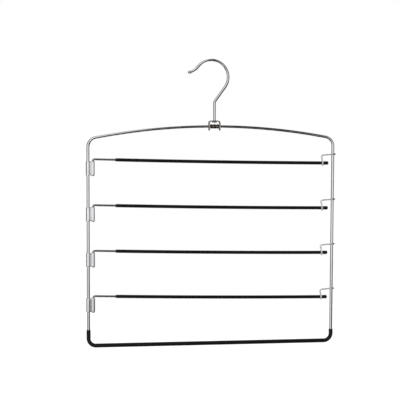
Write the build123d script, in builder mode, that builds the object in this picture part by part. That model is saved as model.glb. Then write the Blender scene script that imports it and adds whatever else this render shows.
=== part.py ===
from build123d import *
import math
import os

# A hanger for several pairs of trousers: a wire frame hangs from a swivelling hook, and four
# sleeved arms swing out of it to the back. Lengths are millimetres. The origin is the rail seat,
# the inner top of the hook. +X is to the right, +Y to the back, +Z up.

# Hook
hook_wire_diameter = 4.0
hook_radius = 25.1  # centreline of the main arc
hook_tail_angle = 35.8  # where the arc runs out to the shank, below +X
hook_mouth_angle = 139.0  # where the arc runs out to the tip, above +X
hook_tip_run = 9.0
hook_lip_length = 7.8
hook_lip_angle = 20.0  # the lip's slope below level
hook_lip_bend = 18.0
hook_ball_diameter = 5.4
shank_offset = 4.9  # the shank stands this far right of the rail seat
shank_bend = 7.5
rivet_head_diameter = 7.6
rivet_head_thickness = 1.7
rivet_round_share = 0.6

# Swivel bracket, a strap bent to an inverted U
bracket_width = 17.2
bracket_height = 14.8
bracket_depth = 10.0
bracket_strip = 1.4
bracket_corner = 3.4  # outer bend radius
bracket_leg_round = 3.0
bracket_wire_depth = 8.7  # strap top down to the frame wire

# Frame, one wire joined in a ferrule between the bracket's legs
wire_drop = 95.6  # rail seat down to the frame wire
frame_centre = 1.3  # the frame's middle stands this far right of the rail seat
frame_width = 366.2  # upright to upright, centre to centre
frame_height = 324.2  # top of the arch down to the bottom bar, centre to centre
frame_wire_diameter = 4.5
arch_radius = 930.0
shoulder_radius = 14.0
foot_radius = 11.0
wire_end_gap = 1.2
ferrule_length = 12.4
ferrule_diameter = 6.7
ferrule_round = 0.8

# Sleeve on the bottom bar
bottom_sleeve_diameter = 6.2
bottom_sleeve_left_rise = 23.7  # bottom bar up to the sleeve's ends
bottom_sleeve_right_rise = 17.6

# Tiers
tier_count = 4
first_tier_drop = 47.8  # top of the arch down to the first arm at its hinge
last_tier_rise = 73.9  # bottom bar up to the last arm at its hinge

# Arms
arm_wire_diameter = 3.2
leg_offset = 7.2  # left upright to the hinge axis
leg_foot_diameter = 4.3
leg_foot_height = 0.9
foot_round_share = 0.4
elbow_radius = 2.8
arm_droop = 7.2  # how far the arm's tip hangs below its hinge end
arm_sag = 0.9
arm_overhang = 9.0  # how far the arm reaches past its catch
arm_sleeve_start = 33.0  # hinge axis to the sleeve
arm_sleeve_diameter = 5.1

# End caps
cap_length = 6.6
cap_diameter = 5.6
cap_nose = 2.4
cap_socket_depth = 3.4
cap_groove_width = 0.6
cap_groove_depth = 0.25
cap_groove_setback = 2.4  # cap base to the groove

# Hinge clips, folded from strip round the upright and the arm's leg
clip_strip = 1.0
clip_height = 20.5
clip_slit = 0.3
clip_seam = 0.8

# Catches, wire hooks welded to the front of the right upright
catch_wire_diameter = 2.3
catch_overhang = 3.3  # cut end beyond the right upright's centre
catch_reach = 18.2  # right upright to the strand's top
catch_lean = 3.0  # how far the strand runs back to the right on its way down
catch_rise = 13.4  # arm up to the weld
catch_fall = 1.5  # weld down to the strand's top
catch_corner = 2.6
catch_lip = 3.2  # arm axis back to the lip's end
weld_sink = 0.35

# Clearances
swivel_clearance = 0.15
rock_clearance = 0.2
pin_clearance = 0.1
arm_clearance = 0.3
foot_clearance = 0.3

hook_wire_radius = hook_wire_diameter / 2
frame_wire_radius = frame_wire_diameter / 2
arm_wire_radius = arm_wire_diameter / 2
arm_sleeve_radius = arm_sleeve_diameter / 2
catch_wire_radius = catch_wire_diameter / 2
frame_half_width = frame_width / 2
bracket_top = bracket_wire_depth - wire_drop
frame_bottom = -wire_drop - frame_height
catch_y = weld_sink - frame_wire_radius - catch_wire_radius
catch_curl_radius = arm_sleeve_radius + arm_clearance + catch_wire_radius
arm_y = catch_y + catch_curl_radius
hinge_x = leg_offset - frame_half_width
tier_pitch = (frame_height - first_tier_drop - last_tier_rise) / (tier_count - 1)
catch_distance = frame_width - leg_offset - catch_reach + catch_lean
arm_reach = catch_distance + arm_overhang
arm_sleeve_end = arm_reach - cap_length
leg_length = elbow_radius + pin_clearance + clip_height + foot_clearance + leg_foot_height

# In this plane x runs from the frame's middle to the right, and y is up from the rail seat.
frame_plane = Plane(origin=(frame_centre, 0, 0), x_dir=(1, 0, 0), z_dir=(0, -1, 0))
arm_plane = frame_plane.offset(-arm_y)


def sweep_round(path, radius, bore_radius=0):
    """Sweep a rod, or a tube where there is a bore, along a path in the open part."""
    with BuildSketch(Plane(origin=path @ 0, z_dir=path % 0)) as section:
        Circle(radius)
        if bore_radius:
            Circle(bore_radius, mode=Mode.SUBTRACT)
    sweep(section.sketch, path=path)


def polar_point(start, distance, angle):
    """The point at a distance and an angle from another, in a flat drawing."""
    turn = math.radians(angle)
    return (start[0] + distance * math.cos(turn), start[1] + distance * math.sin(turn))


def arch_height(x):
    """Height of the frame wire's arch at a distance from the frame's middle."""
    return math.sqrt(arch_radius**2 - x**2) - arch_radius - wire_drop


def arch_arc(start_x, end_x):
    """Add a stretch of the arch to the open line."""
    middle_x = (start_x + end_x) / 2
    return ThreePointArc(*((x, arch_height(x)) for x in (start_x, middle_x, end_x)))


def arm_height(distance):
    """Height of an arm's sagging line over its hinge end, at a distance along it."""
    chord = math.hypot(arm_reach, arm_droop)
    radius = (chord**2 / 4 + arm_sag**2) / (2 * arm_sag)
    centre_x = arm_reach / 2 + (radius - arm_sag) * arm_droop / chord
    centre_y = (radius - arm_sag) * arm_reach / chord - arm_droop / 2
    return centre_y - math.sqrt(radius**2 - (distance - centre_x) ** 2)


def arm_point(tier, distance):
    """A point of an arm's line in the arm plane."""
    tier_height = -wire_drop - first_tier_drop - tier * tier_pitch
    return (hinge_x + distance, tier_height + arm_height(distance))


def arm_arc(tier, start, end):
    """Add a stretch of an arm's line to the open line."""
    return ThreePointArc(*(arm_point(tier, d) for d in (start, (start + end) / 2, end)))


# Hook: lip, mouth, main arc and shank in one wire, with a ball end and a peened head
hook_centre = (0, hook_wire_radius - hook_radius)
mouth = polar_point(hook_centre, hook_radius, hook_mouth_angle)
mouth_corner = polar_point(mouth, hook_tip_run, hook_mouth_angle + 90)
ball_centre = polar_point(mouth_corner, hook_lip_length, 180 + hook_lip_angle)
tail = polar_point(hook_centre, hook_radius, -hook_tail_angle)
tail_slope = 90 - hook_tail_angle
tail_run = (tail[0] - shank_offset) / math.cos(math.radians(tail_slope))
tail_corner = polar_point(tail, tail_run, 180 + tail_slope)
head_top = bracket_top - bracket_strip - swivel_clearance
with BuildPart() as hook:
    with BuildLine(Plane.XZ) as hook_line:
        Polyline(ball_centre, mouth_corner, mouth)
        ThreePointArc(mouth, (0, hook_wire_radius), tail)
        Polyline(tail, tail_corner, (shank_offset, head_top - rivet_head_thickness / 2))
        for corner, bend in ((mouth_corner, hook_lip_bend), (tail_corner, shank_bend)):
            fillet(hook_line.vertices().sort_by_distance(Plane.XZ.from_local_coords(corner))[0], bend)
    sweep_round(hook_line.wire(), hook_wire_radius)
    with Locations(hook_line.wire() @ 0):
        Sphere(hook_ball_diameter / 2)
    with BuildSketch(Plane.XY.offset(head_top)):
        with Locations((shank_offset, 0)):
            Circle(rivet_head_diameter / 2)
    extrude(amount=-rivet_head_thickness)
    fillet(hook.edges().sort_by(Axis.Z)[0], rivet_head_thickness * rivet_round_share)

# Swivel bracket: a strap over the shank, with a hole in each leg for the frame wire
bracket_bottom = bracket_top - bracket_height
with BuildPart() as swivel_bracket:
    with BuildSketch(Plane.XZ):
        for inset, draw_mode in ((0, Mode.ADD), (bracket_strip, Mode.SUBTRACT)):
            half = bracket_width / 2 - inset
            top = bracket_top - inset
            with BuildLine():
                FilletPolyline(
                    (shank_offset - half, bracket_bottom),
                    (shank_offset - half, top),
                    (shank_offset + half, top),
                    (shank_offset + half, bracket_bottom),
                    radius=bracket_corner - inset,
                )
                Line((shank_offset + half, bracket_bottom), (shank_offset - half, bracket_bottom))
            make_face(mode=draw_mode)
    extrude(amount=bracket_depth / 2, both=True)
    leg_ends = swivel_bracket.edges().filter_by(Axis.X).group_by(Axis.Z)[0]
    fillet(leg_ends, bracket_leg_round)
    with Locations((shank_offset, 0, bracket_top)):
        Hole(hook_wire_radius + swivel_clearance, depth=bracket_strip * 2)
    with BuildSketch(Plane.YZ.offset(shank_offset)):
        with Locations((0, -wire_drop)):
            Circle(frame_wire_radius + rock_clearance)
    extrude(amount=bracket_width, both=True, mode=Mode.SUBTRACT)

# Frame wire: arch, shoulders, uprights and bottom bar in one length, open inside the ferrule
join_x = shank_offset - frame_centre
with BuildPart() as frame_wire:
    with BuildLine(frame_plane) as frame_line:
        arch_arc(join_x + wire_end_gap / 2, frame_half_width)
        Polyline(
            (frame_half_width, arch_height(frame_half_width)),
            (frame_half_width, frame_bottom),
            (-frame_half_width, frame_bottom),
            (-frame_half_width, arch_height(-frame_half_width)),
        )
        arch_arc(-frame_half_width, join_x - wire_end_gap / 2)
        fillet(frame_line.vertices().group_by(Axis.Z)[0], foot_radius)
        fillet(frame_line.vertices().sort_by(Axis.Z)[-4:-2], shoulder_radius)
    sweep_round(frame_line.wire(), frame_wire_radius)

# Ferrule crimped over the two ends of the frame wire
with BuildPart() as frame_ferrule:
    with BuildLine(frame_plane) as ferrule_line:
        arch_arc(join_x - ferrule_length / 2, join_x + ferrule_length / 2)
    sweep_round(ferrule_line.wire(), ferrule_diameter / 2, frame_wire_radius)
    ferrule_ends = frame_ferrule.faces().filter_by(GeomType.PLANE)
    fillet([end.outer_wire().edge() for end in ferrule_ends], ferrule_round)

# Sleeve over the bottom bar and both lower corners
with BuildPart() as bottom_sleeve:
    with BuildLine(frame_plane) as bottom_line:
        FilletPolyline(
            (-frame_half_width, frame_bottom + bottom_sleeve_left_rise),
            (-frame_half_width, frame_bottom),
            (frame_half_width, frame_bottom),
            (frame_half_width, frame_bottom + bottom_sleeve_right_rise),
            radius=foot_radius,
        )
    sweep_round(bottom_line.wire(), bottom_sleeve_diameter / 2, frame_wire_radius)


def make_arm_wire(tier):
    """An arm's wire: a leg that turns in the clip, an elbow and the long bar."""
    elbow = arm_point(tier, 0)
    foot = (elbow[0], elbow[1] - leg_length)
    with BuildPart() as arm_wire:
        with BuildLine(arm_plane) as arm_line:
            Line(foot, elbow)
            arm_arc(tier, 0, arm_sleeve_end + cap_socket_depth)
            fillet(arm_line.vertices().sort_by(Axis.X)[0:2].sort_by(Axis.Z)[-1], elbow_radius)
        sweep_round(arm_line.wire(), arm_wire_radius)
        with BuildSketch(Plane.XY.offset(foot[1])):
            with Locations((frame_centre + hinge_x, arm_y)):
                Circle(leg_foot_diameter / 2)
        extrude(amount=leg_foot_height)
        fillet(arm_wire.edges().sort_by(Axis.Z)[0], leg_foot_height * foot_round_share)
    return arm_wire.part


def make_arm_sleeve(tier):
    """The soft sleeve over an arm's bar."""
    with BuildPart() as arm_sleeve:
        with BuildLine(arm_plane) as sleeve_line:
            arm_arc(tier, arm_sleeve_start, arm_sleeve_end)
        sweep_round(sleeve_line.wire(), arm_sleeve_radius, arm_wire_radius)
    return arm_sleeve.part


def make_arm_cap(tier):
    """The cap pushed on the arm's end: a bullet with a groove and a blind socket."""
    with BuildLine(arm_plane, mode=Mode.PRIVATE) as end_line:
        arm_arc(tier, arm_sleeve_start, arm_sleeve_end)
    base = end_line.line @ 1
    cap_radius = cap_diameter / 2
    with BuildPart() as arm_cap:
        with BuildSketch(Plane(origin=base, x_dir=end_line.line % 1, z_dir=(0, -1, 0))) as outline:
            with BuildLine():
                Polyline(
                    (cap_length, 0),
                    (cap_socket_depth, 0),
                    (cap_socket_depth, arm_wire_radius),
                    (0, arm_wire_radius),
                    (0, cap_radius),
                    (cap_length - cap_nose, cap_radius),
                )
                EllipticalCenterArc((cap_length - cap_nose, 0), cap_nose, cap_radius)
            make_face()
            with Locations((cap_groove_setback, cap_radius)):
                Rectangle(cap_groove_width, cap_groove_depth * 2, mode=Mode.SUBTRACT)
        revolve(axis=Axis(base, end_line.line % 1))
    return arm_cap.part


def make_hinge_clip(tier):
    """A strip folded round the leg and clenched round the upright, with its seam on the far side."""
    clip_top = arm_point(tier, 0)[1] - elbow_radius - pin_clearance
    upright = Plane(
        origin=(frame_centre - frame_half_width, 0, clip_top),
        x_dir=(leg_offset, arm_y, 0),
        z_dir=(0, 0, 1),
    )
    leg_distance = math.hypot(leg_offset, arm_y)
    leg_bore = arm_wire_radius + pin_clearance
    with BuildPart() as hinge_clip:
        with BuildSketch(upright):
            Circle(frame_wire_radius + clip_strip)
            with Locations((leg_distance, 0)):
                Circle(leg_bore + clip_strip)
            with Locations((leg_distance / 2, 0)):
                Rectangle(leg_distance, clip_strip * 2 + clip_slit)
                Rectangle(leg_distance, clip_slit, mode=Mode.SUBTRACT)
            Circle(frame_wire_radius, mode=Mode.SUBTRACT)
            with Locations((leg_distance, 0)):
                Circle(leg_bore, mode=Mode.SUBTRACT)
            with Locations((-frame_wire_radius - clip_strip / 2, 0)):
                Rectangle(clip_strip * 2, clip_seam, mode=Mode.SUBTRACT)
        extrude(amount=-clip_height)
    return hinge_clip.part


def make_catch(tier):
    """A welded wire hook: over from the upright, down in front of the arm and under it."""
    strand_foot_x, arm_axis_z = arm_point(tier, catch_distance)
    weld_z = arm_axis_z + catch_rise
    with BuildPart() as catch:
        with BuildLine(Plane(origin=(frame_centre, 0, 0))) as catch_line:
            FilletPolyline(
                (frame_half_width + catch_overhang, catch_y, weld_z),
                (frame_half_width - catch_reach, catch_y, weld_z - catch_fall),
                (strand_foot_x, catch_y, arm_axis_z - catch_curl_radius),
                (strand_foot_x, arm_y + catch_lip, arm_axis_z - catch_curl_radius),
                radius=(catch_corner, catch_curl_radius),
            )
        sweep_round(catch_line.wire(), catch_wire_radius)
        with Locations((frame_centre + frame_half_width, 0, weld_z)):
            Cylinder(frame_wire_radius, catch_reach, mode=Mode.SUBTRACT)
    return catch.part


pieces = {
    "hook": hook.part,
    "swivel_bracket": swivel_bracket.part,
    "frame_wire": frame_wire.part,
    "frame_ferrule": frame_ferrule.part,
    "bottom_sleeve": bottom_sleeve.part,
}
for tier in range(tier_count):
    pieces[f"hinge_clip_{tier + 1}"] = make_hinge_clip(tier)
    pieces[f"catch_{tier + 1}"] = make_catch(tier)
    pieces[f"arm_wire_{tier + 1}"] = make_arm_wire(tier)
    pieces[f"arm_sleeve_{tier + 1}"] = make_arm_sleeve(tier)
    pieces[f"arm_cap_{tier + 1}"] = make_arm_cap(tier)

os.makedirs("parts", exist_ok=True)
for name, piece in pieces.items():
    piece.label = name
    export_step(piece, f"parts/{name}.step")
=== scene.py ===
import math

import bmesh
import bpy
from mathutils import Matrix, Vector


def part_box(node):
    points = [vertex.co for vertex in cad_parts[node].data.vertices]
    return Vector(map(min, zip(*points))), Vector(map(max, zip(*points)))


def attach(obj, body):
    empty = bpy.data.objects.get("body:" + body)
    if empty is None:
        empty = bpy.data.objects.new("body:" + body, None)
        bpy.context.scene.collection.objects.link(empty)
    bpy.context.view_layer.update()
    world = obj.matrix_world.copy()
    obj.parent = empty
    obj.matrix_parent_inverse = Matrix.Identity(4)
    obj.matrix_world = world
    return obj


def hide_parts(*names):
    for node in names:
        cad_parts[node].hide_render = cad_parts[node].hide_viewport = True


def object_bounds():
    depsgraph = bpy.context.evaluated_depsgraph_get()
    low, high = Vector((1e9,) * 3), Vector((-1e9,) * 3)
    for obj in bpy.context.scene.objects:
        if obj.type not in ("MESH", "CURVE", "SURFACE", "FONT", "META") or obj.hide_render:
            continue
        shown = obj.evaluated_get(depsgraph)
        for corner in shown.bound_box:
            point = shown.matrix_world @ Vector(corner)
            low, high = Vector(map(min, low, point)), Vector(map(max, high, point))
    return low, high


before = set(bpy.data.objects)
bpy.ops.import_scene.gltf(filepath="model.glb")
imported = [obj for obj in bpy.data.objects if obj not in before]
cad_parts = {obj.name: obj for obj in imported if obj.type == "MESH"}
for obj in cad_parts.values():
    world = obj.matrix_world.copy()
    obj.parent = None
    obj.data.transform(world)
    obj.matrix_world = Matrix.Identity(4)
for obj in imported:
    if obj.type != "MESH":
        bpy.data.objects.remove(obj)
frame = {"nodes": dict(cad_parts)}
cad_low, cad_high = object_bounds()

bl_info = {
    "name": "Multi tier trouser hanger",
    "version": (1, 0, 0),
    "blender": (4, 5, 0),
    "location": "View3D > Sidebar > Hanger",
    "description": "Dresses the CAD frame of a wire trouser hanger with its finished pieces",
    "category": "Object",
}

# Lengths are metres, +X is to the right, +Y to the back and +Z up. The origin is the rail seat, the
# inner top of the hook. Tiers are counted from the top.
MM = 0.001
TIERS = (1, 2, 3, 4)
MANDREL_RADIUS = 0.05  # radius of the ring that an outline is turned on before it is bent
MERGE_DISTANCE = 1e-6
BEND_STEP = math.radians(6)
ARCH_STEP = math.radians(0.5)

cad_boxes = {name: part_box(name) for name in frame["nodes"]}
wire_low, wire_high = cad_boxes["frame_wire"]
# To a tenth of a millimetre, because the facets of the CAD wire lie a little inside its round
FRAME_WIRE_DIAMETER = round(2 * max(wire_high.y, -wire_low.y) / MM, 1) * MM


def number(description, default, **kind):
    """A number property, but for its label."""
    return bpy.props.FloatProperty, {"description": description, "default": default} | kind


def length(description, millimetres):
    """A size whose default is given in millimetres."""
    return number(description, millimetres * MM, min=0.0, precision=5, subtype="DISTANCE", unit="LENGTH")


def angle(description, degrees):
    """An angle whose default is given in degrees."""
    return number(description, math.radians(degrees), subtype="ANGLE", unit="ROTATION")


def colour(description, default):
    """A colour."""
    look = {"size": 3, "min": 0.0, "max": 1.0, "subtype": "COLOR"}
    return bpy.props.FloatVectorProperty, {"description": description, "default": default} | look


def labelled(group):
    """Make a group's Blender properties, each labelled after its attribute."""
    for attribute, (kind, keywords) in group.__annotations__.items():
        label = attribute.replace("_", " ").capitalize()
        group.__annotations__[attribute] = kind(name=label, **keywords)
    return group


@labelled
class HookSizes(bpy.types.PropertyGroup):
    """The hook: lip, mouth, main arc and shank in one wire."""

    wire_diameter: length("Diameter of the hook's wire", cad_high.z / MM)
    radius: length("Radius of the main arc, to the wire's middle", 25.1)
    tail_angle: angle("Where the arc runs out to the shank, below level", 35.8)
    mouth_angle: angle("Where the arc runs out to the tip, above level", 139.0)
    tip_run: length("Straight run from the arc to the lip's bend", 9.0)
    lip_length: length("Straight run from the lip's bend to the ball", 7.8)
    lip_angle: angle("Slope of the lip below level", 20.0)
    lip_bend: length("Radius of the bend before the lip", 18.0)
    ball_diameter: length("Diameter of the ball end", 5.4)
    shank_offset: length("How far the shank stands right of the rail seat", 4.9)
    shank_bend: length("Radius of the bend over the shank", 7.5)
    head_diameter: length("Diameter of the peened head", 7.6)
    head_thickness: length("Thickness of the peened head", 1.7)
    head_dents: length("Depth of the hammer's marks on the peened head", 0.12)


@labelled
class FrameSizes(bpy.types.PropertyGroup):
    """The frame's wire, its ferrule and the sleeve on its bottom bar."""

    wire_diameter: length("Diameter of the frame's wire", FRAME_WIRE_DIAMETER / MM)
    arch_radius: length("Radius of the arched top", 930.0)
    shoulder_radius: length("Bend between the arch and an upright", 14.0)
    foot_radius: length("Bend between an upright and the bottom bar", 11.0)
    wire_gap: length("Gap between the wire's two ends in the ferrule", 1.2)
    ferrule_length: length("Length of the ferrule", 12.4)
    ferrule_diameter: length("Outer diameter of the ferrule", 6.7)
    ferrule_round: length("Rounding of the ferrule's ends", 0.8)
    crimp_depth: length("Depth of the crimps pressed into the ferrule", 0.5)
    crimp_width: length("Half width of one crimp", 1.3)
    crimp_spacing: length("Distance between the two crimps", 5.2)
    sleeve_diameter: length("Outer diameter of the bottom sleeve", 6.2)
    sleeve_left_rise: length("Bottom bar up to the sleeve's left end", 23.7)
    sleeve_right_rise: length("Bottom bar up to the sleeve's right end", 17.6)
    edge_bevel: length("Rounding of the bracket strap's edges", 0.22)


@labelled
class ArmSizes(bpy.types.PropertyGroup):
    """The swinging arms: wire, sleeve and end cap."""

    wire_diameter: length("Diameter of an arm's wire", 3.2)
    foot_diameter: length("Diameter of the upset foot under the clip", 4.3)
    foot_height: length("Height of the upset foot", 0.9)
    leg_length: length("Foot up to the bar's line", 24.6)
    elbow_radius: length("Bend between the leg and the bar", 2.8)
    droop: length("How far the arm's tip hangs below its hinge end", 7.2)
    sag: length("How far the bar's middle hangs below a straight line", 0.9)
    sleeve_start: length("Hinge axis to the sleeve", 33.0)
    sleeve_diameter: length("Outer diameter of the sleeve", 5.1)
    cap_length: length("Length of the end cap", 6.6)
    cap_diameter: length("Diameter of the end cap", 5.6)
    cap_nose: length("Length of the cap's rounded nose", 2.4)
    cap_socket: length("Depth of the cap's blind socket", 3.4)
    groove_width: length("Width of the groove round the cap", 0.6)
    groove_depth: length("Depth of the groove round the cap", 0.25)
    groove_setback: length("Cap base to the groove's middle", 2.4)
    flash_height: length("Height of the mould's parting line on the cap", 0.05)


@labelled
class SleeveSizes(bpy.types.PropertyGroup):
    """What the soft sleeves have in common."""

    end_round: length("Rounding of a sleeve's cut ends", 0.3)
    taper_length: length("How far the thinned end of an arm's sleeve reaches", 2.2)
    taper_depth: length("How much thinner the sleeve's end is", 0.35)
    waviness: length("How unevenly the sleeve lies on its wire", 0.07)
    wave_length: length("Length of a sleeve's unevenness", 14.0)
    wrinkle_depth: length("Depth of the creases inside a bend", 0.32)
    wrinkle_pitch: length("Distance between the creases inside a bend", 2.1)


@labelled
class ClipSizes(bpy.types.PropertyGroup):
    """The hinge clips, folded from strip round the upright and an arm's leg."""

    strip: length("Thickness of the strip", 1.0)
    edge_round: length("Rounding of the strip's long edges", 0.22)
    seam: length("Gap between the strip's two ends", 0.8)
    slit: length("Gap between the web's two layers", 0.3)
    pin_clearance: length("Air round an arm's leg", 0.1)
    fold_round: length("Radius of the bends into the web", 1.0)


@labelled
class CatchSizes(bpy.types.PropertyGroup):
    """The wire catches welded to the right upright."""

    wire_diameter: length("Diameter of a catch's wire", 2.3)
    reach: length("Right upright to the strand's top", 18.2)
    overhang: length("Right upright to the cut end beyond it", 3.3)
    lean: length("How far the strand runs to the right on its way down", 3.0)
    fall: length("Weld down to the strand's top", 1.5)
    corner: length("Bend at the strand's top", 2.6)
    curl: length("Bend under the arm", 4.0)
    weld_width: length("Half width of a weld's bead", 1.8)
    weld_thickness: length("Half thickness of a weld's bead", 0.62)
    cut_round: length("Rounding of a catch's cut ends", 0.22)


@labelled
class FinishColours(bpy.types.PropertyGroup):
    """Colours of the finishes."""

    chrome: colour("Bright plate on the wires", (0.78, 0.775, 0.77))
    arm_plate: colour("Thinner plate on the arms' wires", (0.36, 0.355, 0.35))
    catch_plate: colour("Plate on the thin catches and their welds", (0.92, 0.91, 0.905))
    bracket_plate: colour("Plate on the bent strap", (0.40, 0.375, 0.365))
    dull_plate: colour("Plate on the crimped ferrule", (0.17, 0.150, 0.140))
    zinc: colour("Plate on the hinge clips", (0.93, 0.925, 0.945))
    vinyl: colour("Soft black sleeves", (0.0045, 0.0045, 0.005))
    cap: colour("Moulded end caps", (0.005, 0.005, 0.0055))
    floor: colour("The studio's floor", (0.82, 0.82, 0.82))


@labelled
class StageSettings(bpy.types.PropertyGroup):
    """Camera, lights and floor."""

    azimuth: angle("Where the camera stands, round from the front", -7.772)
    elevation: angle("Where the camera stands, above level", 5.127)
    roll: angle("Turn of the picture", 0.206)
    distance: length("Camera to the point it looks at", 2000.0)
    lens: number("Focal length of the camera", 121.37, unit="CAMERA")
    sensor_width: number("Width of the camera's sensor", 36.0, unit="CAMERA")
    nearest: length("Nearest that the camera sees", 50.0)
    furthest: length("Furthest that the camera sees", 50_000.0)
    look_right: number("Point looked at, right of the rail seat", -16.16 * MM, unit="LENGTH")
    look_up: number("Point looked at, above the rail seat", -204.57 * MM, unit="LENGTH")
    floor_drop: length("Rail seat down to the floor", 640.0)
    floor_width: length("Width of the floor", 1250.0)
    floor_front: length("How far the floor reaches in front of the hanger", 20.0)
    floor_back: length("How far the floor reaches behind the hanger", 1600.0)
    key_power: number("Power of the large light at the upper left", 9.0, unit="POWER")
    key_width: length("Width of the key light", 1400.0)
    key_height: length("Height of the key light", 1000.0)
    key_right: number("Key light, right of the rail seat", -1100 * MM, unit="LENGTH")
    key_behind: number("Key light, behind the rail seat", -900 * MM, unit="LENGTH")
    key_up: number("Key light, above the rail seat", 1500 * MM, unit="LENGTH")


class HangerSettings(bpy.types.PropertyGroup):
    """All that a user would change on the hanger."""

    hook: bpy.props.PointerProperty(type=HookSizes, name="Hook")
    frame: bpy.props.PointerProperty(type=FrameSizes, name="Frame")
    arm: bpy.props.PointerProperty(type=ArmSizes, name="Arms")
    sleeve: bpy.props.PointerProperty(type=SleeveSizes, name="Sleeves")
    clip: bpy.props.PointerProperty(type=ClipSizes, name="Hinge clips")
    catch: bpy.props.PointerProperty(type=CatchSizes, name="Catches")
    finish: bpy.props.PointerProperty(type=FinishColours, name="Finishes")
    stage: bpy.props.PointerProperty(type=StageSettings, name="Stage")


# Node trees

class Signal:
    """A node's output. Arithmetic on it adds Math nodes, so a pattern reads as a formula."""

    def __init__(self, board, socket):
        self.board, self.socket = board, socket

    def __getitem__(self, name):
        """Another output of the same node."""
        return Signal(self.board, self.socket.node.outputs[name])

    def math(self, operation, first, *others):
        values = dict(enumerate((first, *others)))
        return self.board.add("ShaderNodeMath", values, operation=operation)

    def __add__(self, other):
        return self.math("ADD", self, other)

    def __radd__(self, other):
        return self.math("ADD", other, self)

    def __sub__(self, other):
        return self.math("SUBTRACT", self, other)

    def __rsub__(self, other):
        return self.math("SUBTRACT", other, self)

    def __mul__(self, other):
        return self.math("MULTIPLY", self, other)

    def __rmul__(self, other):
        return self.math("MULTIPLY", other, self)

    def __truediv__(self, other):
        return self.math("DIVIDE", self, other)

    def __rtruediv__(self, other):
        return self.math("DIVIDE", other, self)

    def maximum(self, other):
        return self.math("MAXIMUM", self, other)

    def step(self, low, high):
        """0 below the first value, 1 above the second, and smooth between them."""
        sockets = {"Value": self, "From Min": low, "From Max": high}
        return self.board.add("ShaderNodeMapRange", sockets, interpolation_type="SMOOTHSTEP")


class Board:
    """A node tree being wired."""

    def __init__(self, tree):
        self.tree = tree

    def add(self, kind, sockets=None, **settings):
        """One node, with its settings made first, then the values or links of its sockets."""
        node = self.tree.nodes.new(kind)
        for name, value in settings.items():
            setattr(node, name, value)
        for key, value in (sockets or {}).items():
            shown = [socket for socket in node.inputs if socket.enabled]
            socket = shown[key] if isinstance(key, int) else next(s for s in shown if s.name == key)
            if isinstance(value, Signal):
                self.tree.links.new(value.socket, socket)
            else:
                socket.default_value = value
        # The nodes that end a tree have no outputs, and nothing reads their signal
        return Signal(self, next((s for s in node.outputs if s.enabled), None) or node.inputs[0])

    def split(self, vector):
        """The parts of a vector, as the outputs X, Y and Z."""
        return self.add("ShaderNodeSeparateXYZ", {"Vector": vector})

    def join(self, x, y, z=0.0):
        """A vector of its parts."""
        return self.add("ShaderNodeCombineXYZ", {"X": x, "Y": y, "Z": z})

    def vector(self, operation, *vectors, scale=None):
        """Vector Math on vectors, or on one vector and a scale."""
        sockets = dict(enumerate(vectors))
        if scale is not None:
            sockets["Scale"] = scale
        signal = self.add("ShaderNodeVectorMath", sockets, operation=operation)
        return signal["Value"] if operation in ("LENGTH", "DOT_PRODUCT") else signal

    def mix(self, factor, low, high):
        """A colour between two colours."""
        return self.add("ShaderNodeMix", {"Factor": factor, "A": low, "B": high}, data_type="RGBA")

    def noise(self, place, scales, detail=2.0, roughness=0.5, seed=0.0):
        """Noise at a place. Scales count its lumps to the metre, alike or one for each axis."""
        scales = scales if isinstance(scales, tuple) else (scales,) * 3
        stretched = self.vector("MULTIPLY", place, scales)
        sockets = {"Vector": stretched, "W": seed, "Scale": 1.0, "Detail": detail, "Roughness": roughness}
        return self.add("ShaderNodeTexNoise", sockets, noise_dimensions="4D")


# Routes: the lines that wires and sleeves follow

def evenly(start, end, steps):
    """Numbers from the first to the last in equal steps."""
    return [start + (end - start) * k / steps for k in range(steps + 1)]


def polar(start, distance, turn):
    """The point at a distance and an angle from another, in the plane of the frame."""
    return start + Vector((math.cos(turn), 0, math.sin(turn))) * distance


def round_corner(before, corner, after, radius):
    """Points on the arc that rounds one corner."""
    back, ahead = (before - corner).normalized(), (after - corner).normalized()
    turn = math.pi - back.angle(ahead)
    centre = corner + (back + ahead).normalized() * radius / math.cos(turn / 2)
    spoke = corner + back * radius * math.tan(turn / 2) - centre
    axis = ahead.cross(back)
    turns = evenly(0.0, turn, max(2, math.ceil(turn / BEND_STEP)))
    return [centre + Matrix.Rotation(part, 3, axis) @ spoke for part in turns]


def rounded_route(corners, radii):
    """Straight runs from corner to corner, with each inner corner rounded."""
    route = [corners[0]]
    for before, corner, after, radius in zip(corners, corners[1:], corners[2:], radii):
        route += round_corner(before, corner, after, radius)
    return route + [corners[-1]]


def arc_route(centre, radius, start, end, step=BEND_STEP):
    """Points on an arc round a centre, in the plane of the frame."""
    steps = max(2, math.ceil(abs(end - start) / step))
    return [polar(centre, radius, turn) for turn in evenly(start, end, steps)]


def without_repeats(route):
    """The route without points that lie on the one before."""
    kept = [route[0]]
    for point in route[1:]:
        if (point - kept[-1]).length > MERGE_DISTANCE:
            kept.append(point)
    return kept


def divided(route, spacing):
    """The route with points added so that none are further apart than the spacing."""
    points = [route[0]]
    for start, end in zip(route, route[1:]):
        parts = max(1, math.ceil((end - start).length / spacing))
        points += [start.lerp(end, part) for part in evenly(0, 1, parts)[1:]]
    return points


def distances(route):
    """How far along the route each of its points is."""
    total, along = 0.0, [0.0]
    for start, end in zip(route, route[1:]):
        total += (end - start).length
        along.append(total)
    return along


# Outlines: (distance along the route, distance from it), turned round the route

RISE, FALL = (math.pi, math.pi / 2), (math.pi / 2, 0.0)


def quarter(centre, size, turns, steps=5):
    """Points on a quarter of an oval: the outline's rise to its full size, or its fall from it."""
    spokes = [(math.cos(turn), math.sin(turn)) for turn in evenly(*turns, steps)]
    return [(centre[0] + size[0] * x, centre[1] + size[1] * y) for x, y in spokes]


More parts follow.
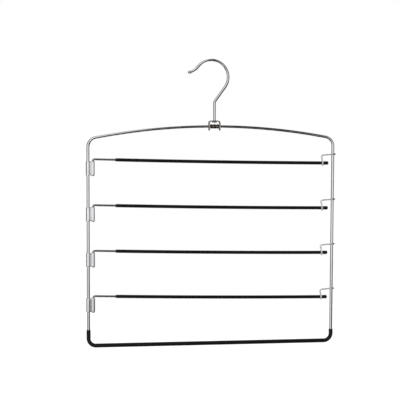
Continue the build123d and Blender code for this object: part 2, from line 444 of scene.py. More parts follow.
def rounding(distance, height, size, turns, steps=5):
    """The rounded edge of an outline: its arc's middle is at a distance and a height."""
    return quarter((distance, height), (size, size), turns, steps)


def between(along, start, end):
    """The distances that lie well inside a stretch."""
    margin = 0.05 * MM
    return [d for d in along if start + margin < d < end - margin]


def rod_outline(along, radius, end_round):
    """A solid rod with rounded ends."""
    end = along[-1]
    corner = radius - end_round
    outline = [(0.0, 0.0)]
    outline += rounding(end_round, corner, end_round, RISE)
    outline += [(d, radius) for d in between(along, end_round, end - end_round)]
    outline += rounding(end - end_round, corner, end_round, FALL)
    return outline + [(end, 0.0)]


def tube_outline(along, radius, bore, end_round, taper_length=0.0, taper_depth=0.0):
    """A tube with rounded ends, as a closed outline. Its ends may be drawn thinner."""
    end = along[-1]
    lip = radius - taper_depth

    def outer(distance):
        thinning = max(0.0, 1 - min(distance, end - distance) / taper_length) if taper_length else 0.0
        return radius - taper_depth * thinning**2

    outside = rounding(end_round, lip - end_round, end_round, RISE)
    outside += [(d, outer(d)) for d in between(along, end_round, end - end_round)]
    outside += rounding(end - end_round, lip - end_round, end_round, FALL)
    return outside + [(end, bore)] + [(d, bore) for d in reversed(between(along, 0, end))] + [(0.0, bore)]


# Meshes

def geometry_tree(name, sockets):
    """A new geometry tree with inputs of these names and kinds: its board and its inputs' signal."""
    tree = bpy.data.node_groups.new(name, "GeometryNodeTree")
    tree.interface.new_socket("Geometry", in_out="INPUT", socket_type="NodeSocketGeometry")
    tree.interface.new_socket("Geometry", in_out="OUTPUT", socket_type="NodeSocketGeometry")
    for socket_name, kind in sockets.items():
        tree.interface.new_socket(socket_name, in_out="INPUT", socket_type="NodeSocket" + kind)
    board = Board(tree)
    return board, board.add("NodeGroupInput")


def end_tree(board, geometry, material):
    """The end of every tree: doubles merged, smooth, realized and with its material."""
    sockets = {"Geometry": geometry, "Distance": MERGE_DISTANCE}
    merged = board.add("GeometryNodeMergeByDistance", sockets)
    smooth = board.add("GeometryNodeSetShadeSmooth", {"Geometry": merged})
    real = board.add("GeometryNodeRealizeInstances", {"Geometry": smooth})
    done = board.add("GeometryNodeSetMaterial", {"Geometry": real, "Material": material})
    board.add("NodeGroupOutput", {"Geometry": done})
    return board.tree


def turned_tree():
    """An outline turned round a path: rods, tubes, sleeves and caps that follow a bent line."""
    board, given = geometry_tree("Turned along a path", {
        "Path": "Object", "Sides": "Int", "Bore radius": "Float", "Waviness": "Float",
        "Wave length": "Float", "Wrinkle depth": "Float", "Wrinkle pitch": "Float", "Seed": "Int",
        "Material": "Material",
    })
    sockets = {"Resolution": given["Sides"], "Radius": MANDREL_RADIUS}
    ring = board.add("GeometryNodeCurvePrimitiveCircle", sockets)
    outline = board.add("GeometryNodeMeshToCurve", {"Mesh": given["Geometry"]})
    body = board.add("GeometryNodeCurveToMesh", {"Curve": ring, "Profile Curve": outline})

    # The turned ring gives each point its distance along the path, its radius and its side
    spread = board.split(board.add("GeometryNodeInputPosition"))
    ring_distance = board.vector("LENGTH", board.join(spread["X"], spread["Y"]))
    along, radius = spread["Z"], ring_distance - MANDREL_RADIUS
    cosine, sine = spread["X"] / ring_distance, spread["Y"] / ring_distance
    straight = board.join(along, radius * cosine, radius * sine)
    sockets = {"Geometry": body, "Name": "straight", "Value": straight}
    marked = board.add("GeometryNodeStoreNamedAttribute", sockets, data_type="FLOAT_VECTOR", domain="POINT")

    # The path's own axes at that distance
    path = board.add("GeometryNodeObjectInfo", {"Object": given["Path"]})["Geometry"]

    def sample(distance):
        return board.add("GeometryNodeSampleCurve", {"Curves": path, "Length": distance}, mode="LENGTH")

    here = sample(along)
    side = board.vector("CROSS_PRODUCT", here["Tangent"], here["Normal"])
    outward = board.vector(
        "ADD",
        board.vector("SCALE", here["Normal"], scale=cosine),
        board.vector("SCALE", side, scale=sine),
    )

    # Unevenness, and creases on the inner side of each bend. Both go inward, and leave the bore alone
    reach = 1.5 * MM
    turning = board.vector(
        "SUBTRACT", sample(along + reach)["Tangent"], sample(along - reach)["Tangent"]
    )
    inner_side = board.vector("DOT_PRODUCT", outward, turning).maximum(0.0) / (2 * reach)
    phase = along * (2 * math.pi) / given["Wrinkle pitch"]
    crease = phase.math("SINE", phase)
    tight_bend = 70.0  # a bend of this many turns to the metre creases fully
    creases = (inner_side / tight_bend).step(0.1, 1.0) * (crease * 0.5 + 0.5) * given["Wrinkle depth"]
    wave = board.add("ShaderNodeTexNoise", {
        "Vector": board.vector("SCALE", straight, scale=1 / MM), "W": given["Seed"],
        "Scale": MM / given["Wave length"], "Detail": 2.0, "Roughness": 0.4,
    }, noise_dimensions="4D")
    still_bore = 0.3 * MM  # within this of the bore, the tube's wall moves less
    skin = ((radius - given["Bore radius"]) / still_bore).step(0.0, 1.0)
    sunk = (creases + wave * given["Waviness"]) * skin
    bent = board.vector("ADD", here["Position"], board.vector("SCALE", outward, scale=radius - sunk))
    moved = board.add("GeometryNodeSetPosition", {"Geometry": marked, "Position": bent})
    return end_tree(board, moved, given["Material"])


def folded_tree():
    """A strip folded along a path, with rounded edges: the clips."""
    board, given = geometry_tree("Folded strip", {
        "Strip thickness": "Float", "Strip width": "Float", "Edge rounding": "Float", "Material": "Material",
    })
    path = board.add("GeometryNodeMeshToCurve", {"Mesh": given["Geometry"]})
    sockets = {"Width": given["Strip thickness"], "Height": given["Strip width"]}
    section = board.add("GeometryNodeCurvePrimitiveQuadrilateral", sockets)
    sockets = {"Curve": section, "Count": 4, "Radius": given["Edge rounding"]}
    rounded = board.add("GeometryNodeFilletCurve", sockets, mode="POLY")

    # Points along the strip's broad faces keep their shading flat up to the rounded edges
    broad_cuts = 15.0
    across = board.split(board.add("GeometryNodeInputPosition"))["Y"]
    following = board.add("GeometryNodeOffsetPointInCurve", {"Offset": 1})["Point Index"]
    sockets = {"Index": following, "Value": across}
    onward = board.add("GeometryNodeFieldAtIndex", sockets, data_type="FLOAT", domain="POINT")
    rise = onward["Value"] - across
    broad = rise.math("GREATER_THAN", rise.math("ABSOLUTE", rise), given["Strip width"] * 0.5)
    supported = board.add("GeometryNodeSubdivideCurve", {"Curve": rounded, "Cuts": broad * broad_cuts})
    sockets = {"Curve": path, "Profile Curve": supported, "Fill Caps": True}
    strip = board.add("GeometryNodeCurveToMesh", sockets)
    return end_tree(board, strip, given["Material"])


def bead_tree():
    """A flattened, slightly uneven bead on each point: the welds."""
    board, given = geometry_tree("Weld beads", {
        "Half width": "Float", "Half thickness": "Float", "Unevenness": "Float", "Seed": "Int",
        "Material": "Material",
    })
    ball = board.add("GeometryNodeMeshIcoSphere", {"Radius": 1.0, "Subdivisions": 4})
    size = board.join(given["Half width"], given["Half thickness"], given["Half width"])
    sockets = {"Points": given["Geometry"], "Instance": ball, "Scale": size}
    beads = board.add("GeometryNodeInstanceOnPoints", sockets)
    real = board.add("GeometryNodeRealizeInstances", {"Geometry": beads})
    lumps = board.noise(board.add("GeometryNodeInputPosition"), 900.0, detail=1.0, seed=given["Seed"])
    normal = board.add("GeometryNodeInputNormal")
    shift = board.vector("SCALE", normal, scale=(lumps - 1.0) * given["Unevenness"])
    moved = board.add("GeometryNodeSetPosition", {"Geometry": real, "Offset": shift})
    return end_tree(board, moved, given["Material"])


def line_mesh(name, points, closed=False):
    """A mesh of edges from point to point."""
    mesh = bpy.data.meshes.new(name)
    edges = [(k, (k + 1) % len(points)) for k in range(len(points) if closed else len(points) - 1)]
    mesh.from_pydata(points, edges, [])
    return mesh


def placed(name, data):
    """A new object in the scene."""
    item = bpy.data.objects.new(name, data)
    bpy.context.scene.collection.objects.link(item)
    return item


def plain_mesh(piece):
    """The mesh that a piece's modifiers make of it, in their place."""
    bpy.context.view_layer.update()
    evaluated = piece.evaluated_get(bpy.context.evaluated_depsgraph_get())
    result = bpy.data.meshes.new_from_object(evaluated)
    piece.modifiers.clear()
    piece.data = result
    result.name = piece.name
    if not result.polygons:
        raise RuntimeError(f"{piece.name}: no faces were made")


def grown(name, mesh, tree, values):
    """The plain mesh that a geometry tree makes of a mesh, as a finished object at the origin."""
    piece = placed(name, mesh)
    modifier = piece.modifiers.new(tree.name, "NODES")
    modifier.node_group = tree
    inputs = {item.name: item.identifier for item in tree.interface.items_tree if item.in_out == "INPUT"}
    for label, value in values.items():
        modifier[inputs[label]] = value
    plain_mesh(piece)
    return piece


def face_outwards(piece, sharp_degrees=38.0):
    """Turn a finished piece's faces outwards and keep its crisp edges crisp."""
    shape = bmesh.new()
    shape.from_mesh(piece.data)
    bmesh.ops.recalc_face_normals(shape, faces=shape.faces)
    shape.to_mesh(piece.data)
    shape.free()
    piece.data.polygons.foreach_set("use_smooth", [True] * len(piece.data.polygons))
    piece.data.set_sharp_from_angle(angle=math.radians(sharp_degrees))


def turned(name, route, outline, body, slot, node, marks=None, sides=24, closed=False, **values):
    """A finished piece turned round a route from an outline, with its marks pressed in."""
    path = bpy.data.curves.new(name + "_path", "CURVE")
    path.dimensions = "3D"
    spline = path.splines.new("POLY")
    spline.points.add(len(route) - 1)
    for point, place in zip(spline.points, route):
        point.co = (*place, 1.0)
    guide = placed(name + "_path", path)
    mesh = line_mesh(name + "_outline", [(radius, -along, 0.0) for along, radius in outline], closed)
    # The tree divides by these two, on pieces without waves or creases too
    values = {"wave_length": 10 * MM, "wrinkle_pitch": 2 * MM} | values
    settings = {"Path": guide, "Sides": sides, "Material": finishes[slot]}
    settings |= {label.replace("_", " ").capitalize(): value for label, value in values.items()}
    piece = grown(name, mesh, trees["turned"], settings)
    bpy.data.objects.remove(guide)
    face_outwards(piece)
    if marks:
        pressed(piece, marks)
    return dress(piece, body, slot, node)


def pressed(piece, depth_at):
    """Press marks into a turned piece: depth_at gives each point's depth from its straight place."""
    straight = piece.data.attributes["straight"].data
    normals = [vertex.normal.copy() for vertex in piece.data.vertices]
    for vertex, place, normal in zip(piece.data.vertices, straight, normals):
        along, front, top = place.vector
        vertex.co -= normal * depth_at(along, front, top)
    piece.data.update()


def dress(piece, body, slot, *nodes):
    """The piece rides on a body and stands for CAD nodes, which it hides. Its slot is not used."""
    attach(piece, body)
    if nodes:
        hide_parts(*nodes)
    return piece


# Finishes

# Near-black, for the darkened first end of a wire
NEAR_BLACK = (0.014, 0.012, 0.011, 1.0)
DUST = (0.16, 0.155, 0.15, 1.0)
WHITE = (1.0, 1.0, 1.0, 1.0)


def new_material(name):
    """A material and its board."""
    material = bpy.data.materials.new(name)
    material.use_nodes = True
    material.node_tree.nodes.clear()
    return material, Board(material.node_tree)


def finish_material(material, board, sockets, bumps=()):
    """A material with its shader: bumps are pairs of a height and a depth in metres."""
    normal = None
    for height, depth in bumps:
        values = {"Height": height, "Distance": depth, "Strength": 1.0}
        if normal:
            values["Normal"] = normal
        normal = board.add("ShaderNodeBump", values)
    if normal:
        sockets = sockets | {"Normal": normal}
    shader = board.add("ShaderNodeBsdfPrincipled", sockets)
    board.add("ShaderNodeOutputMaterial", {"Surface": shader})
    return material


def opaque(rgb):
    """A colour with its alpha."""
    return (*rgb, 1.0)


def scaled(rgb, factor):
    """A colour made darker or lighter."""
    return opaque(min(1.0, channel * factor) for channel in rgb)


def wire_place(board):
    """Place on a turned piece as if its path were straight."""
    return board.add("ShaderNodeAttribute", attribute_name="straight")["Vector"]


def object_place(board):
    """Place on a piece in the hanger's own frame."""
    return board.add("ShaderNodeTexCoord")["Object"]


def chrome_material(
    name, rgb, place_of, polish, draw, seed, tarnish=0.12, metal=1.0, rim=1.0, dark_end=0.0,
):
    """Bright plate over drawn wire: fine lines along it, handling haze, and a few dull pits.

    The rim is how much of the light it mirrors at a grazing angle. The wire's colour may be darkened
    to near-black for a length from its first end."""
    material, board = new_material(name)
    place = place_of(board)
    lines = board.noise(place, (30.0, 5200.0, 5200.0), detail=3.0, seed=seed)
    haze = board.noise(place, (70.0, 110.0, 110.0), detail=3.0, roughness=0.6, seed=seed + 3)
    pits = board.noise(place, 2600.0, detail=2.0, seed=seed + 7).step(0.70, 0.80)
    cloud = haze.step(0.42, 0.72)
    base = board.mix(cloud * tarnish * 2.0, opaque(rgb), scaled(rgb, 0.80))
    spotted = board.mix(pits * 0.55, base, scaled(rgb, 0.42))
    # The colour darkens to near-black for a length from the wire's first end
    if dark_end:
        along = board.split(place)["X"]
        darkened_end = along.step(dark_end * 1.25, dark_end * 0.6) * (1.0 - haze.step(0.45, 0.75) * 0.25)
        spotted = board.mix(darkened_end, spotted, NEAR_BLACK)
    roughness = polish + cloud * 0.06 + lines.step(0.45, 0.75) * 0.05 * draw + pits * 0.25
    tint = opaque([rim] * 3)
    return finish_material(
        material, board,
        {"Base Color": spotted, "Metallic": metal, "Roughness": roughness, "Specular Tint": tint},
        [(lines, 0.006 * MM * draw), (1.0 - pits, 0.012 * MM), (haze, 0.02 * MM)],
    )


def dull_plate_material(name, rgb):
    """Thin plate on a crimped tube: cloudy, a little brown, and scuffed by the jaws."""
    material, board = new_material(name)
    place = wire_place(board)
    cloud = board.noise(place, 260.0, detail=4.0, roughness=0.6)
    scuffs = board.noise(place, (500.0, 3800.0, 3800.0), seed=2.0).step(0.55, 0.72)
    brown = opaque(channel * warmth for channel, warmth in zip(rgb, (0.72, 0.60, 0.48)))
    warm = board.mix(cloud.step(0.35, 0.70), opaque(rgb), brown)
    base = board.mix(scuffs * 0.4, warm, scaled(rgb, 1.5))
    return finish_material(
        material, board,
        {"Base Color": base, "Metallic": 1.0, "Roughness": 0.24 + cloud * 0.16 + scuffs * 0.12},
        [(cloud, 0.05 * MM), (scuffs, 0.015 * MM)],
    )


def zinc_material(name, rgb):
    """Bright zinc on folded strip: rolling lines, a soft spangle and dull handling marks."""
    material, board = new_material(name)
    place = object_place(board)
    rolling = board.noise(place, (3200.0, 3200.0, 60.0), detail=3.0)
    sockets = {"Vector": place, "Scale": 650.0, "Randomness": 1.0}
    cells = board.add("ShaderNodeTexVoronoi", sockets, voronoi_dimensions="3D")["Distance"]
    haze = board.noise(place, (150.0, 150.0, 90.0), detail=3.0, seed=5.0).step(0.40, 0.75)
    spangle = board.mix(cells.step(0.15, 0.75) * 0.35, opaque(rgb), scaled(rgb, 0.84))
    base = board.mix(haze * 0.30, spangle, scaled(rgb, 0.72))
    return finish_material(
        material, board,
        {"Base Color": base, "Metallic": 0.90, "Roughness": 0.08 + rolling * 0.05 + haze * 0.06},
        [(rolling, 0.006 * MM), (cells, 0.003 * MM)],
    )


def vinyl_material(name, rgb):
    """Soft black tube: satin, with faint lines along it, a fine orange peel and specks of dust."""
    material, board = new_material(name)
    place = wire_place(board)
    lines = board.noise(place, (25.0, 1900.0, 1900.0), detail=3.0, seed=1.0)
    peel = board.noise(place, 2300.0, detail=3.0, seed=4.0)
    wear = board.noise(place, (45.0, 420.0, 420.0), detail=4.0, roughness=0.6, seed=8.0).step(0.50, 0.78)
    dust = board.noise(place, (1500.0, 3000.0, 3000.0), detail=1.0, seed=6.0).step(0.76, 0.82)
    base = board.mix(wear * 0.6, opaque(rgb), scaled(rgb, 2.6))
    roughness = 0.23 + wear * 0.10 + lines * 0.06 + dust * 0.2
    return finish_material(
        material, board,
        {
            "Base Color": board.mix(dust * 0.35, base, DUST), "Roughness": roughness,
            "Specular IOR Level": 0.3,
        },
        [(lines, 0.03 * MM), (peel, 0.02 * MM)],
    )


def cap_material(name, rgb):
    """Moulded black plastic: smoother than the sleeve, with a fine spark-eroded grain."""
    material, board = new_material(name)
    place = wire_place(board)
    grain = board.noise(place, 5200.0)
    flow = board.noise(place, (300.0, 700.0, 700.0), detail=3.0, seed=2.0).step(0.45, 0.80)
    base = board.mix(flow * 0.5, opaque(rgb), scaled(rgb, 2.2))
    return finish_material(
        material, board,
        {"Base Color": base, "Roughness": 0.27 + flow * 0.10 + grain * 0.05},
        [(grain, 0.010 * MM), (flow, 0.03 * MM)],
    )


# Both are filled by the first operator, for the others to use
trees = {}
finishes = {}


def make_finishes(colours):
    """Every material of the hanger by the name of its slot, and the welds' beside them."""
    plates = {
        "hook_chrome": (colours.chrome, wire_place, {"polish": 0.06, "draw": 1.0, "seed": 1.0}),
        "frame_chrome": (colours.chrome, wire_place, {"polish": 0.08, "draw": 1.2, "seed": 2.0}),
        "arm_chrome": (colours.arm_plate, wire_place, {"polish": 0.20, "draw": 1.2, "seed": 3.0}),
        "catch_chrome": (colours.catch_plate, wire_place, {
            "polish": 0.30, "draw": 1.0, "seed": 4.0, "metal": 0.70, "dark_end": 2.9 * MM,
        }),
        "weld_chrome": (colours.catch_plate, object_place, {
            "polish": 0.30, "draw": 0.8, "seed": 6.0, "metal": 0.70,
        }),
        "bracket_chrome": (colours.bracket_plate, object_place, {
            "polish": 0.14, "draw": 0.8, "seed": 5.0, "tarnish": 0.2, "rim": 0.3,
        }),
    }
    for slot, (rgb, place_of, look) in plates.items():
        finishes[slot] = chrome_material(slot + "_plate", rgb, place_of, **look)
    finishes["ferrule_chrome"] = dull_plate_material("ferrule_dull_plate", colours.dull_plate)
    finishes["clip_zinc"] = zinc_material("clip_zinc_plate", colours.zinc)
    finishes["black_vinyl"] = vinyl_material("sleeve_black_vinyl", colours.vinyl)
    finishes["black_cap"] = cap_material("cap_black_plastic", colours.cap)


# The routes of the hanger's own wires

def upright_places():
    """The left and right uprights' places across the frame, and the bottom bar's height."""
    radius = FRAME_WIRE_DIAMETER / 2
    return wire_low.x + radius, wire_high.x - radius, wire_low.z + radius


def hook_route(sizes):
    """From the ball's tip over the rail seat and down to the peened head's underside."""
    radius = sizes.wire_diameter / 2
    centre = Vector((0, 0, radius - sizes.radius))
    mouth = polar(centre, sizes.radius, sizes.mouth_angle)
    lip_corner = polar(mouth, sizes.tip_run, sizes.mouth_angle + math.pi / 2)
    lip_run = sizes.lip_length + sizes.ball_diameter / 2
    tip = polar(lip_corner, lip_run, math.pi + sizes.lip_angle)
    tail = polar(centre, sizes.radius, -sizes.tail_angle)
    slope = math.pi / 2 - sizes.tail_angle
    shank_corner = polar(tail, (tail.x - sizes.shank_offset) / math.cos(slope), math.pi + slope)
    bottom = Vector((sizes.shank_offset, 0, cad_boxes["hook"][0].z))
    lip = rounded_route([tip, lip_corner, mouth], [sizes.lip_bend])
    arc = arc_route(centre, sizes.radius, sizes.mouth_angle, -sizes.tail_angle, BEND_STEP / 2)
    shank = rounded_route([tail, shank_corner, bottom], [sizes.shank_bend])
    return without_repeats(lip + arc + shank)


def arch_centre(sizes):
    """Centre of the arch's circle. The CAD wire's top, beside its joint, gives its height."""
    left, right, _ = upright_places()
    top = wire_high.z - sizes.wire_diameter / 2
    return Vector(((left + right) / 2, 0, top - sizes.arch_radius))


def arch_turn(sizes, x):
    """Angle round the arch's centre of the point at a place across the frame."""
    return math.acos((x - arch_centre(sizes).x) / sizes.arch_radius)


def frame_route(sizes, joint_x):
    """Once round the frame, from the wire's right end at the joint to its left end."""
    left, right, bottom = upright_places()
    centre = arch_centre(sizes)
    half_width = (right - left) / 2
    inset = half_width - sizes.shoulder_radius
    drop = sizes.arch_radius - sizes.shoulder_radius
    shoulder = Vector((centre.x + inset, 0, centre.z + math.sqrt(drop**2 - inset**2)))
    shoulder_turn = math.acos(inset / drop)
    start_turn = arch_turn(sizes, joint_x + sizes.wire_gap / 2)
    end_turn = arch_turn(sizes, joint_x - sizes.wire_gap / 2)
    right_arch = arc_route(centre, sizes.arch_radius, start_turn, shoulder_turn, ARCH_STEP)
    right_shoulder = arc_route(shoulder, sizes.shoulder_radius, shoulder_turn, 0)
    opposite = Vector((2 * centre.x - shoulder.x, 0, shoulder.z))
    left_shoulder = arc_route(opposite, sizes.shoulder_radius, math.pi, math.pi - shoulder_turn)
    left_arch = arc_route(centre, sizes.arch_radius, math.pi - shoulder_turn, end_turn, ARCH_STEP)
    corners = [right_shoulder[-1], Vector((right, 0, bottom)), Vector((left, 0, bottom)), left_shoulder[0]]
    uprights = rounded_route(corners, [sizes.foot_radius] * 2)
    return without_repeats(right_arch + right_shoulder + uprights + left_shoulder + left_arch)


def arm_place(tier):
    """The top of a tier's leg line: the hinge axis at the height of the bar."""
    low, high = cad_boxes[f"arm_wire_{tier}"]
    sizes = bpy.context.scene.trouser_hanger.arm
    hinge_x = low.x + sizes.foot_diameter / 2
    return Vector((hinge_x, (low.y + high.y) / 2, low.z + sizes.leg_length))


def arm_reach(tier):
    """Hinge axis to the arm's tip."""
    return cad_boxes[f"arm_cap_{tier}"][1].x - arm_place(tier).x


def arm_point(sizes, tier, distance):
    """A point of the bar's sagging line, at a distance from the hinge axis."""
    reach = arm_reach(tier)
    chord = math.hypot(reach, sizes.droop)
    radius = (chord**2 / 4 + sizes.sag**2) / (2 * sizes.sag)
    centre_x = reach / 2 + (radius - sizes.sag) * sizes.droop / chord
    centre_z = (radius - sizes.sag) * reach / chord - sizes.droop / 2
    height = centre_z - math.sqrt(radius**2 - (distance - centre_x) ** 2)
    return arm_place(tier) + Vector((distance, 0, height))


def bar_route(sizes, tier, start, end, spacing):
    """A stretch of the bar's line."""
    steps = max(2, math.ceil((end - start) / spacing))
    return [arm_point(sizes, tier, distance) for distance in evenly(start, end, steps)]


def clip_route(sizes, wire_radius, leg_radius, leg_offset):
    """The folded strip's middle line in plan, round the upright, along the web and round the leg.

    It is drawn with the upright at the origin and the leg on +X, from the middle of the leg's
    barrel to the seam, for one side; the other side is its mirror image."""
    upright_bend = wire_radius + sizes.strip / 2
    leg_bend = leg_radius + sizes.pin_clearance + sizes.strip / 2
    web = (sizes.slit + sizes.strip) / 2
    fold = sizes.fold_round
    fold_y = web + fold
    leg_fold_x = leg_offset - math.sqrt((leg_bend + fold) ** 2 - fold_y**2)
    upright_fold_x = math.sqrt((upright_bend + fold) ** 2 - fold_y**2)
    leg_turn = math.atan2(fold_y, leg_fold_x - leg_offset)
    upright_turn = math.atan2(fold_y, upright_fold_x)
    seam_turn = math.pi - math.asin(sizes.seam / 2 / upright_bend)
    leg_centre, upright_centre = Vector((leg_offset, 0, 0)), Vector((0, 0, 0))
    leg_fold, upright_fold = Vector((leg_fold_x, 0, fold_y)), Vector((upright_fold_x, 0, fold_y))
    half = arc_route(leg_centre, leg_bend, 0, leg_turn, BEND_STEP / 2)
    half += arc_route(leg_fold, fold, leg_turn - math.pi, -math.pi / 2)
    half += arc_route(upright_fold, fold, -math.pi / 2, upright_turn - math.pi)
    half += arc_route(upright_centre, upright_bend, upright_turn, seam_turn, BEND_STEP / 2)
    half = without_repeats([Vector((point.x, point.z, 0)) for point in half])
    return [Vector((point.x, -point.y, 0)) for point in reversed(half)] + half[1:]


# Operators: one for each piece or group of like pieces, and one for the stage

class HANGER_OT_finishes(bpy.types.Operator):
    """Make the hanger's materials and geometry trees"""

    bl_idname = "hanger.finishes"
    bl_label = "Finishes and trees"

    def execute(self, context):
        make_finishes(context.scene.trouser_hanger.finish)
        trees["turned"] = turned_tree()
        trees["folded"] = folded_tree()
        trees["bead"] = bead_tree()
        return {"FINISHED"}


class HANGER_OT_hook(bpy.types.Operator):
    """Bend the hook from its wire, with its ball end and peened head"""

    bl_idname = "hanger.hook"
    bl_label = "Hook"

    def execute(self, context):
        sizes = context.scene.trouser_hanger.hook
        route = divided(hook_route(sizes), spacing=6 * MM)
        along = distances(route)
        end, radius, ball = along[-1], sizes.wire_diameter / 2, sizes.ball_diameter / 2
        neck_end, neck_steps = ball * 2.4, 14
        blend = 12  # the higher, the sharper the corner between the ball and its neck
        outline = rounding(ball, 0.0, ball, RISE, steps=10)
        for distance in evenly(ball, neck_end, neck_steps)[1:]:
            sphere = math.sqrt(max(0.0, ball**2 - (distance - ball) ** 2))
            outline.append((distance, (sphere**blend + radius**blend) ** (1 / blend)))
        head_top = end - sizes.head_thickness
        outline += [(d, radius) for d in between(along, neck_end, head_top)]
        rim, soft = sizes.head_diameter / 2, 0.25 * MM
        edge = sizes.head_thickness * 0.6
        outline += [(head_top, radius)]
        outline += rounding(head_top + soft, rim - soft, soft, RISE, steps=3)
        outline += rounding(end - edge, rim - edge, edge, FALL, steps=6)
        outline += [(end, rim * share_in) for share_in in (0.5, 0.25, 0.0)]

        face_start = end - sizes.head_thickness * 0.7
        dents_round, cross_dents, dents_skew = 5, 3, 400

        def hammer_marks(distance, front, top):
            if distance < face_start:
                return 0.0
            turn = math.atan2(top, front)
            pattern = math.sin(dents_round * turn + dents_skew * front) * math.cos(cross_dents * turn)
            return sizes.head_dents * (0.5 + 0.5 * pattern)

        turned("hook_bent_wire", route, outline, "hook", "hook_chrome", "hook", hammer_marks, sides=32)
        return {"FINISHED"}


class HANGER_OT_bracket(bpy.types.Operator):
    """Round the edges of the swivel bracket's strap and holes"""

    bl_idname = "hanger.bracket"
    bl_label = "Swivel bracket"

    def execute(self, context):
        sizes = context.scene.trouser_hanger.frame
        mesh = frame["nodes"]["swivel_bracket"].data.copy()
        shape = bmesh.new()
        shape.from_mesh(mesh)
        bmesh.ops.remove_doubles(shape, verts=shape.verts, dist=MERGE_DISTANCE)
        flat, corner = math.radians(1), math.radians(40)  # a bend of the strap turns less at each facet
        bmesh.ops.dissolve_limit(shape, angle_limit=flat, verts=shape.verts, edges=shape.edges)
        shape.to_mesh(mesh)
        shape.free()
        piece = placed("swivel_strap", mesh)
        bevel = piece.modifiers.new("Edges", "BEVEL")
        bevel.width, bevel.segments = sizes.edge_bevel, 3
        bevel.limit_method, bevel.angle_limit = "ANGLE", corner
        plain_mesh(piece)
        piece.data.materials.clear()
        piece.data.materials.append(finishes["bracket_chrome"])
        face_outwards(piece, sharp_degrees=30.0)
        dress(piece, "bracket", "bracket_chrome", "swivel_bracket")
        return {"FINISHED"}


class HANGER_OT_frame_wire(bpy.types.Operator):
    """Bend the frame's wire once round, from joint to joint"""

    bl_idname = "hanger.frame_wire"
    bl_label = "Frame wire"

    def execute(self, context):
        settings = context.scene.trouser_hanger
        sizes = settings.frame
        route = divided(frame_route(sizes, settings.hook.shank_offset), spacing=12 * MM)
        outline = rod_outline(distances(route), sizes.wire_diameter / 2, end_round=0.3 * MM)
        turned("frame_bent_wire", route, outline, "frame", "frame_chrome", "frame_wire", sides=32)
        return {"FINISHED"}


class HANGER_OT_ferrule(bpy.types.Operator):
    """Crimp the ferrule over the wire's two ends"""

    bl_idname = "hanger.ferrule"
    bl_label = "Ferrule"

    def execute(self, context):
        settings = context.scene.trouser_hanger
        sizes = settings.frame
        joint_x, half = settings.hook.shank_offset, sizes.ferrule_length / 2
        turns = (arch_turn(sizes, joint_x - half), arch_turn(sizes, joint_x + half))
        route = divided(arc_route(arch_centre(sizes), sizes.arch_radius, *turns), spacing=0.35 * MM)
        along = distances(route)
        bore = sizes.wire_diameter / 2
        outline = tube_outline(along, sizes.ferrule_diameter / 2, bore, sizes.ferrule_round)
        middle = along[-1] / 2
        crimps = (middle - sizes.crimp_spacing / 2, middle + sizes.crimp_spacing / 2)

        def jaw_marks(distance, front, top):
            radius = math.hypot(front, top)
            if radius < (bore + sizes.ferrule_diameter / 2) / 2:
                return 0.0
            nearest = min(abs(distance - crimp) for crimp in crimps)
            across = max(0.0, 1 - (nearest / sizes.crimp_width) ** 2)
            facing = (front / radius) ** 4 + (top / radius) ** 4
            return sizes.crimp_depth * math.sqrt(across) * max(0.0, facing * 2 - 1)

        turned(
            "crimped_ferrule", route, outline, "frame", "ferrule_chrome", "frame_ferrule", jaw_marks,
            sides=48, closed=True, bore_radius=bore,
        )
        return {"FINISHED"}


class HANGER_OT_bottom_sleeve(bpy.types.Operator):
    """Draw the soft sleeve over the bottom bar and both corners"""

    bl_idname = "hanger.bottom_sleeve"
    bl_label = "Bottom sleeve"

    def execute(self, context):
        settings = context.scene.trouser_hanger
        sizes, soft = settings.frame, settings.sleeve
        left, right, bottom = upright_places()
        left_top, right_top = bottom + sizes.sleeve_left_rise, bottom + sizes.sleeve_right_rise
        corners = [Vector(corner) for corner in (
            (left, 0, left_top), (left, 0, bottom), (right, 0, bottom), (right, 0, right_top),
        )]
        route = divided(rounded_route(corners, [sizes.foot_radius] * 2), spacing=1.2 * MM)
        bore = sizes.wire_diameter / 2
        along = distances(divided(route, spacing=0.45 * MM))
        outline = tube_outline(along, sizes.sleeve_diameter / 2, bore, soft.end_round)
        turned(
            "bottom_vinyl_sleeve", route, outline, "frame", "black_vinyl", "bottom_sleeve",
            sides=28, closed=True, bore_radius=bore, waviness=soft.waviness, wave_length=soft.wave_length,
            wrinkle_depth=soft.wrinkle_depth, wrinkle_pitch=soft.wrinkle_pitch, seed=11,
        )
        return {"FINISHED"}


class HANGER_OT_hinge_clips(bpy.types.Operator):
    """Fold the four hinge clips round the upright and the arms' legs"""

    bl_idname = "hanger.hinge_clips"
    bl_label = "Hinge clips"

    def execute(self, context):
        settings = context.scene.trouser_hanger
        sizes = settings.clip
        left, _, _ = upright_places()
        for tier in TIERS:
            low, high = cad_boxes[f"hinge_clip_{tier}"]
            leg = arm_place(tier)
            upright = Vector((left, 0, (low.z + high.z) / 2))
            across = Vector((leg.x - left, leg.y, 0))
            plan = clip_route(
                sizes, settings.frame.wire_diameter / 2, settings.arm.wire_diameter / 2, across.length
            )
            turn = Matrix.Rotation(math.atan2(across.y, across.x), 3, "Z")
            route = [upright + turn @ point for point in plan]
            piece = grown(f"hinge_clip_{tier}_strip", line_mesh("clip_line", route), trees["folded"], {
                "Strip thickness": sizes.strip, "Strip width": high.z - low.z,
                "Edge rounding": sizes.edge_round, "Material": finishes["clip_zinc"],
            })
            face_outwards(piece)
            dress(piece, "frame", "clip_zinc", f"hinge_clip_{tier}")
        return {"FINISHED"}


